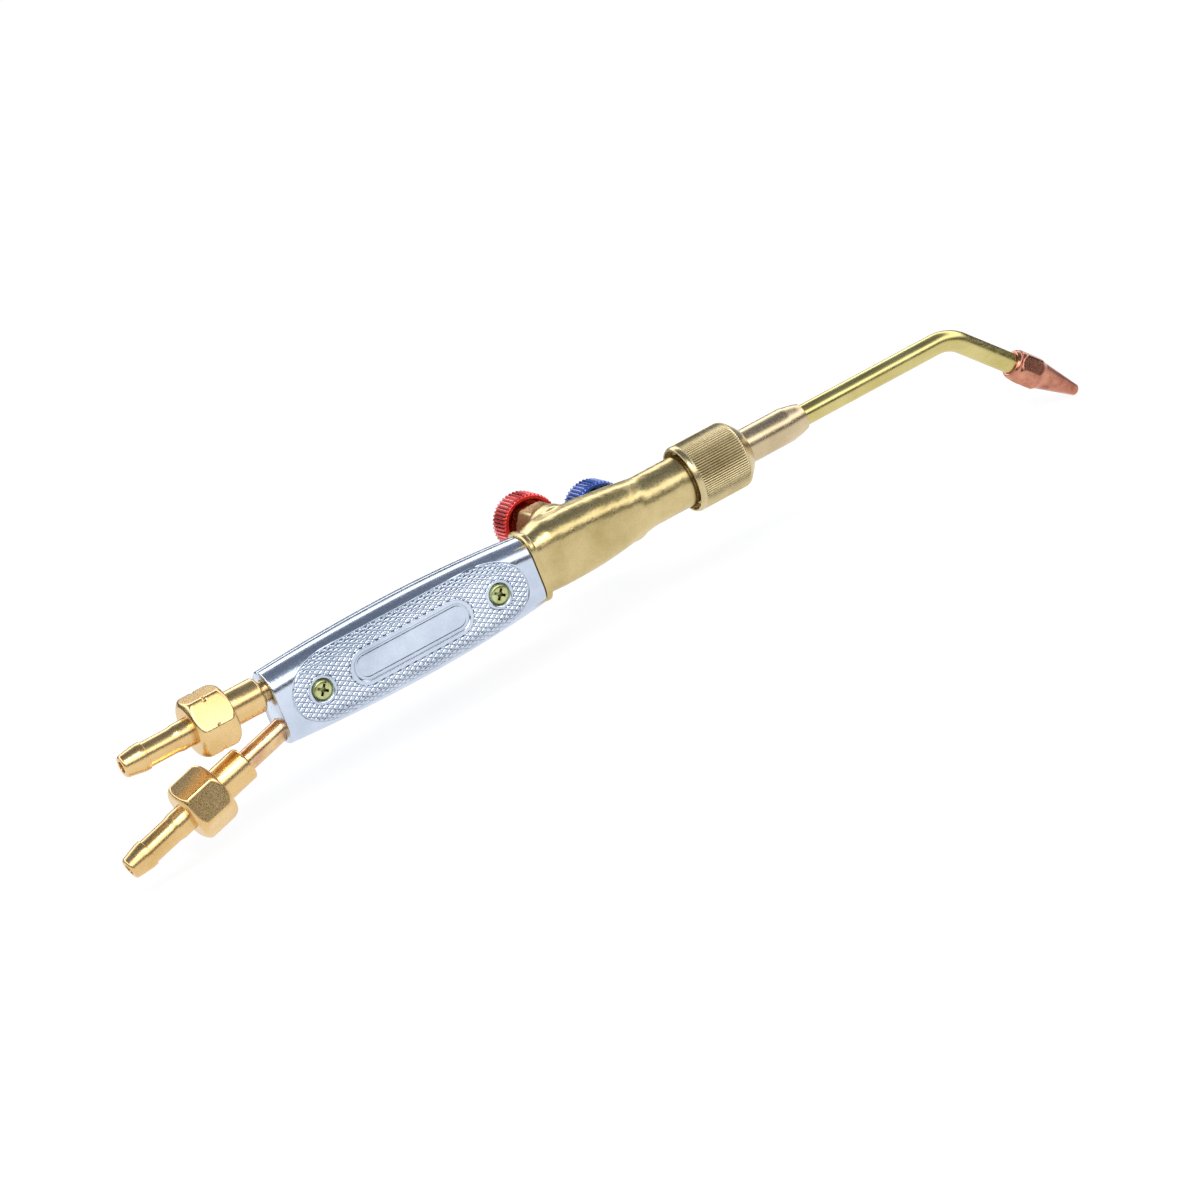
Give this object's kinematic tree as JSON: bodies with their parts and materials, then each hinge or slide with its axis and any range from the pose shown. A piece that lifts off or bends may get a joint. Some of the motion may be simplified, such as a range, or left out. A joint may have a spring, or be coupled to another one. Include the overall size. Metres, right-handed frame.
{
  "type": "gas torch",
  "caption": "Hand-held oxy-fuel gas torch with two needle valves, a union nut, a bent tip with a copper nozzle and two barbed hose fittings.",
  "frame": {"origin": "middle of the grip, on the main axis through the valve body and the straight part of the tip", "axes": "+X along the main axis towards the tip, +Y towards the valve knobs, +Z opposite to the way the tip bends"},
  "size_m": [0.4063, 0.0507, 0.0583],
  "materials": {
    "body_brass": "satin, bead-blasted casting",
    "nut_brass": "satin, fine straight knurl",
    "stem_brass": "satin",
    "tube_brass": "polished",
    "fitting_brass": "machined",
    "grip_aluminium": "polished die casting",
    "zinc_screw": "yellow zinc plated",
    "nozzle_copper": "machined copper",
    "red_knob": "gloss red anodised",
    "blue_knob": "gloss blue anodised",
    "spindle_steel": "turned stainless",
    "seal_rubber": "matt",
    "white_packing": "matt"
  },
  "bodies": {
    "handset": {"valve_body": "body_brass", "grip_shell_front": "grip_aluminium", "grip_shell_back": "grip_aluminium", "grip_screws": "zinc_screw", "fuel_tube": "tube_brass", "oxygen_tube": "fitting_brass", "fuel_adapter": "fitting_brass", "oxygen_adapter": "fitting_brass", "fuel_valve_seat": "spindle_steel", "oxygen_valve_seat": "spindle_steel", "fuel_packing": "white_packing", "oxygen_packing": "white_packing", "fuel_gland_nut": "fitting_brass", "oxygen_gland_nut": "fitting_brass"},
    "fuel_ring": {"fuel_stem_ring": "seal_rubber"},
    "fuel_stem": {"fuel_spindle": "spindle_steel", "fuel_knob": "red_knob", "fuel_knob_screw": "spindle_steel"},
    "oxygen_ring": {"oxygen_stem_ring": "seal_rubber"},
    "oxygen_stem": {"oxygen_spindle": "spindle_steel", "oxygen_knob": "blue_knob", "oxygen_knob_screw": "spindle_steel"},
    "slip_washer": {"nut_thrust_washer": "stem_brass"},
    "coupling_nut": {"union_nut": "nut_brass"},
    "tip": {"mixer_stem": "stem_brass", "injector": "fitting_brass", "mixer_front_ring": "seal_rubber", "mixer_rear_ring": "seal_rubber", "tip_tube": "tube_brass", "nozzle": "nozzle_copper"},
    "fuel_nipple": {"fuel_hose_nipple": "fitting_brass"},
    "fuel_nut": {"fuel_hose_nut": "fitting_brass"},
    "oxygen_nipple": {"oxygen_hose_nipple": "fitting_brass"},
    "oxygen_nut": {"oxygen_hose_nut": "fitting_brass"}
  },
  "joints": [
    {"name": "fuel_stem_rise", "type": "slide", "parent": "handset", "child": "fuel_ring", "axis": [0, 1, 0], "range_m": [0, 0.0015]},
    {"name": "fuel_knob_turn", "type": "hinge", "parent": "fuel_ring", "child": "fuel_stem", "pos_m": [0.071, 0, 0.0042], "axis": [0, 1, 0], "range_deg": [0, 545]},
    {"name": "oxygen_stem_rise", "type": "slide", "parent": "handset", "child": "oxygen_ring", "axis": [0, 1, 0], "range_m": [0, 0.0015]},
    {"name": "oxygen_knob_turn", "type": "hinge", "parent": "oxygen_ring", "child": "oxygen_stem", "pos_m": [0.098, 0, -0.0042], "axis": [0, 1, 0], "range_deg": [0, 545]},
    {"name": "tip_draw", "type": "slide", "parent": "handset", "child": "slip_washer", "axis": [1, 0, 0], "range_m": [0, 0.006]},
    {"name": "union_nut_turn", "type": "hinge", "parent": "slip_washer", "child": "coupling_nut", "pos_m": [0.134, 0, 0], "axis": [1, 0, 0], "range_deg": [0, 1450]},
    {"name": "tip_swivel", "type": "hinge", "parent": "slip_washer", "child": "tip", "pos_m": [0.134, 0, 0], "axis": [1, 0, 0], "range_deg": [-180, 180]},
    {"name": "fuel_nipple_draw", "type": "slide", "parent": "handset", "child": "fuel_nipple", "axis": [-1, 0, 0], "range_m": [0, 0.006]},
    {"name": "fuel_nut_turn", "type": "hinge", "parent": "fuel_nipple", "child": "fuel_nut", "pos_m": [-0.076, 0, 0.0048], "axis": [-1, 0, 0], "range_deg": [-1450, 0]},
    {"name": "oxygen_nipple_draw", "type": "slide", "parent": "handset", "child": "oxygen_nipple", "axis": [-0.9659, 0, -0.2588], "range_m": [0, 0.006]},
    {"name": "oxygen_nut_turn", "type": "hinge", "parent": "oxygen_nipple", "child": "oxygen_nut", "pos_m": [-0.11529, 0, -0.0269], "axis": [-0.9659, 0, -0.2588], "range_deg": [0, 1450]}
  ],
  "couplings": [
    {"joint": "fuel_knob_turn", "follows": "fuel_stem_rise", "rad_per_m": 6283.2},
    {"joint": "oxygen_knob_turn", "follows": "oxygen_stem_rise", "rad_per_m": 6283.2},
    {"joint": "union_nut_turn", "follows": "tip_draw", "rad_per_m": 4188.8},
    {"joint": "fuel_nut_turn", "follows": "fuel_nipple_draw", "rad_per_m": -4188.8},
    {"joint": "oxygen_nut_turn", "follows": "oxygen_nipple_draw", "rad_per_m": 4188.8}
  ]
}
